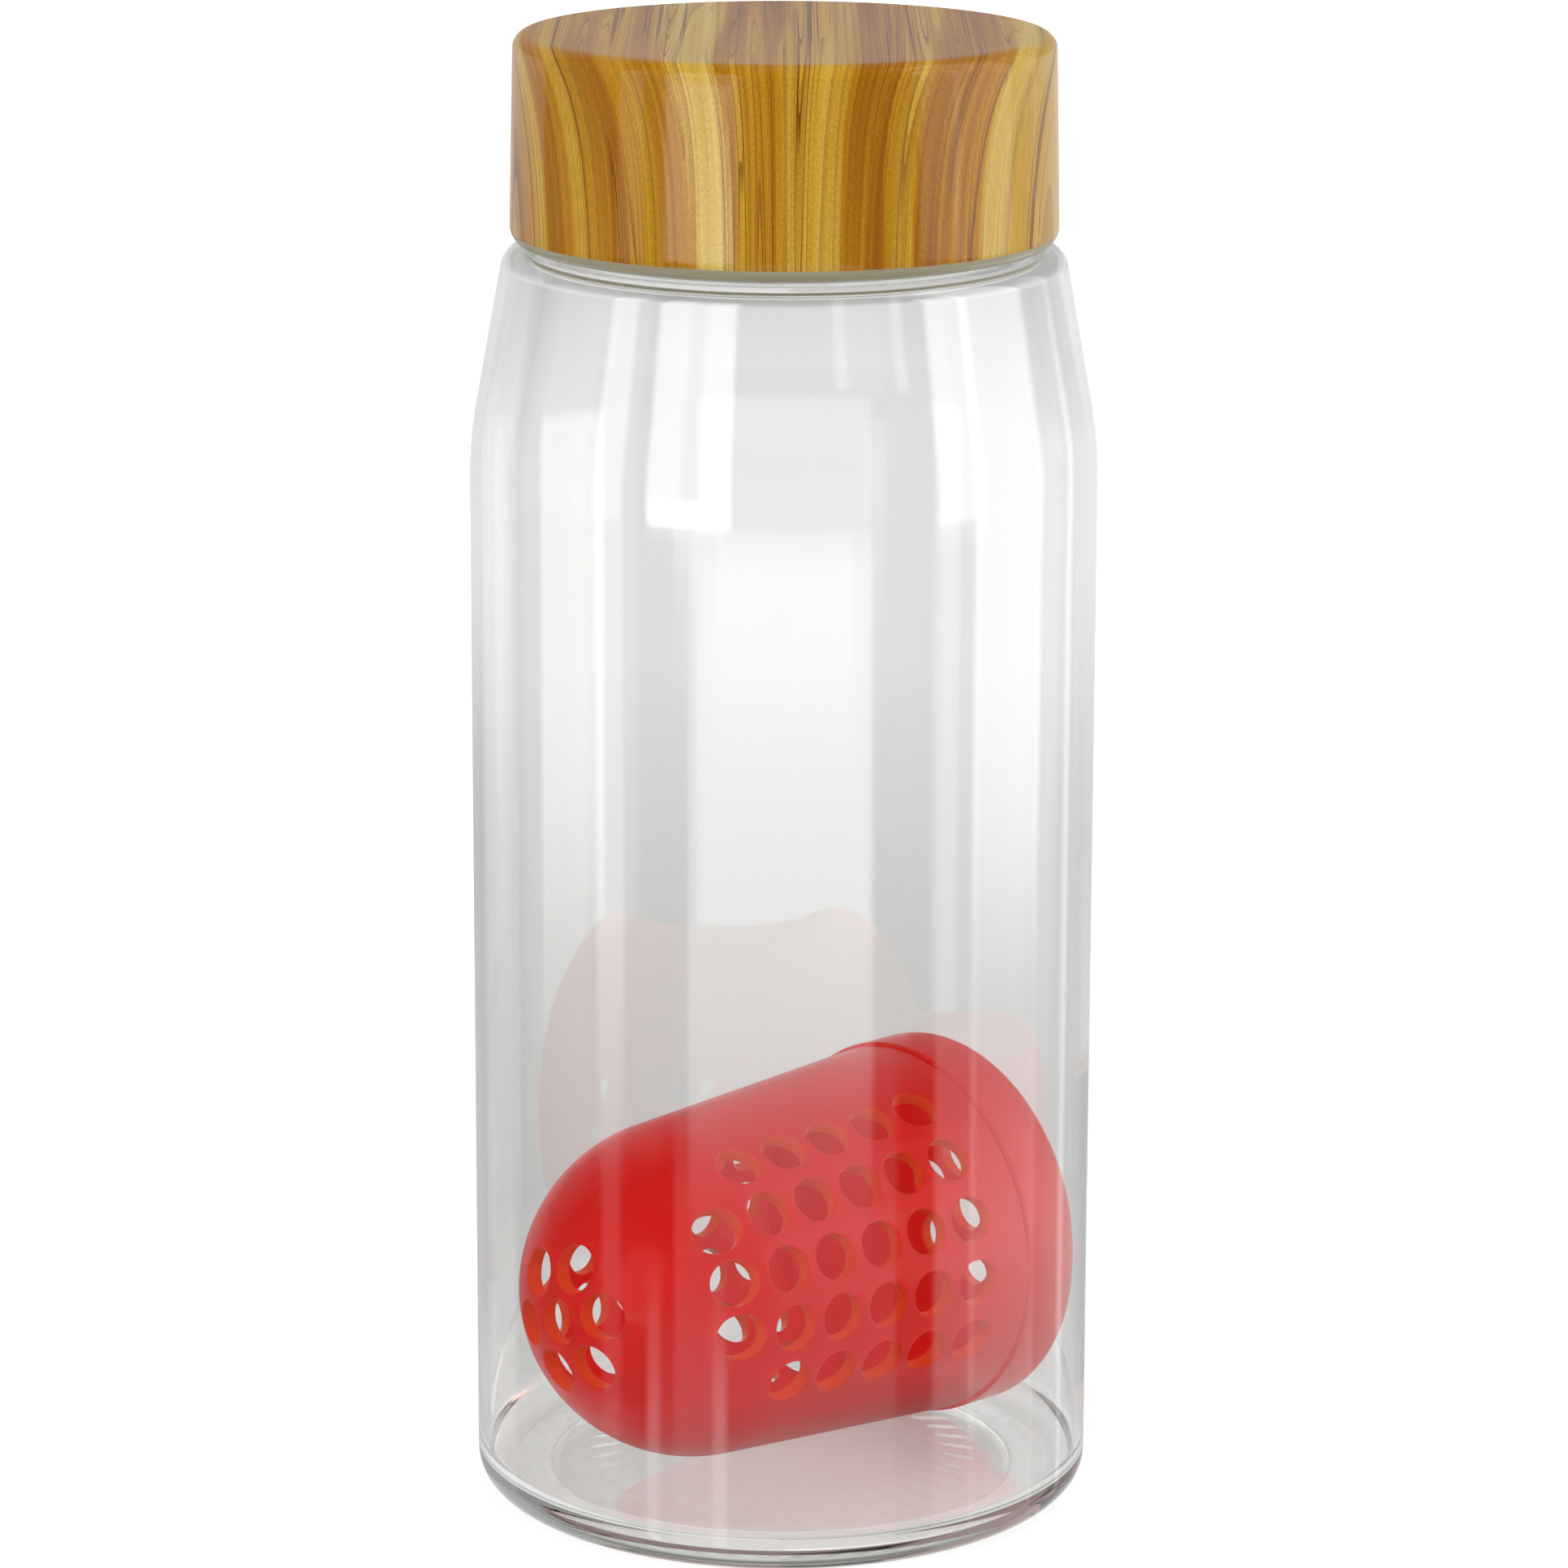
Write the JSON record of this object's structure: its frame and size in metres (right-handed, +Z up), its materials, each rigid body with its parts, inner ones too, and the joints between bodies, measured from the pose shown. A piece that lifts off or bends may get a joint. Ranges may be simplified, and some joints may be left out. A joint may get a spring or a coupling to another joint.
{
  "type": "fruit infuser water bottle",
  "caption": "Clear wide neck water bottle with a wood look screw lid and a perforated two piece fruit infuser capsule lying loose inside on the domed floor.",
  "frame": {"origin": "middle of the circle that the bottle stands on, at the level of the table", "axes": "+Z up through the lid, -Y towards the picture's camera, +X to the picture's right"},
  "size_m": [0.074, 0.074, 0.1766],
  "materials": {
    "clear_copolyester": "clear, blow moulded, glossy",
    "wood_film_cover": "printed wood grain film under a clear gloss",
    "liner_polypropylene": "natural, satin moulded",
    "silicone": "soft, matt",
    "red_tinted_plastic": "see through red, glossy moulded"
  },
  "bodies": {
    "bottle": {"bottle_body": "clear_copolyester"},
    "seal": {"lid_seal": "silicone"},
    "lid": {"lid_cover": "wood_film_cover", "lid_liner": "liner_polypropylene"},
    "infuser": {"infuser_basket": "red_tinted_plastic"},
    "infuser_cap": {"infuser_cap": "red_tinted_plastic"}
  },
  "joints": [
    {"name": "lid_lift", "type": "slide", "parent": "bottle", "child": "seal", "axis": [0, 0, 1], "range_m": [0, 0.0241]},
    {"name": "lid_turn", "type": "hinge", "parent": "seal", "child": "lid", "pos_m": [0, 0, 0.16], "axis": [0, 0, 1], "range_deg": [0, 1440]},
    {"name": "infuser_tip", "type": "hinge", "parent": "bottle", "child": "infuser", "pos_m": [-0.01079, -0.01075, 0.02744], "axis": [0.6626, -0.749, 0], "range_deg": [0, 80]},
    {"name": "cap_twist", "type": "hinge", "parent": "infuser", "child": "infuser_cap", "pos_m": [-0.01079, -0.01075, 0.02744], "axis": [0.749, 0.6626, 0.0028], "range_deg": [0, 30]}
  ],
  "couplings": [
    {"joint": "lid_lift", "follows": "lid_turn", "m_per_rad": 0.00095493}
  ]
}
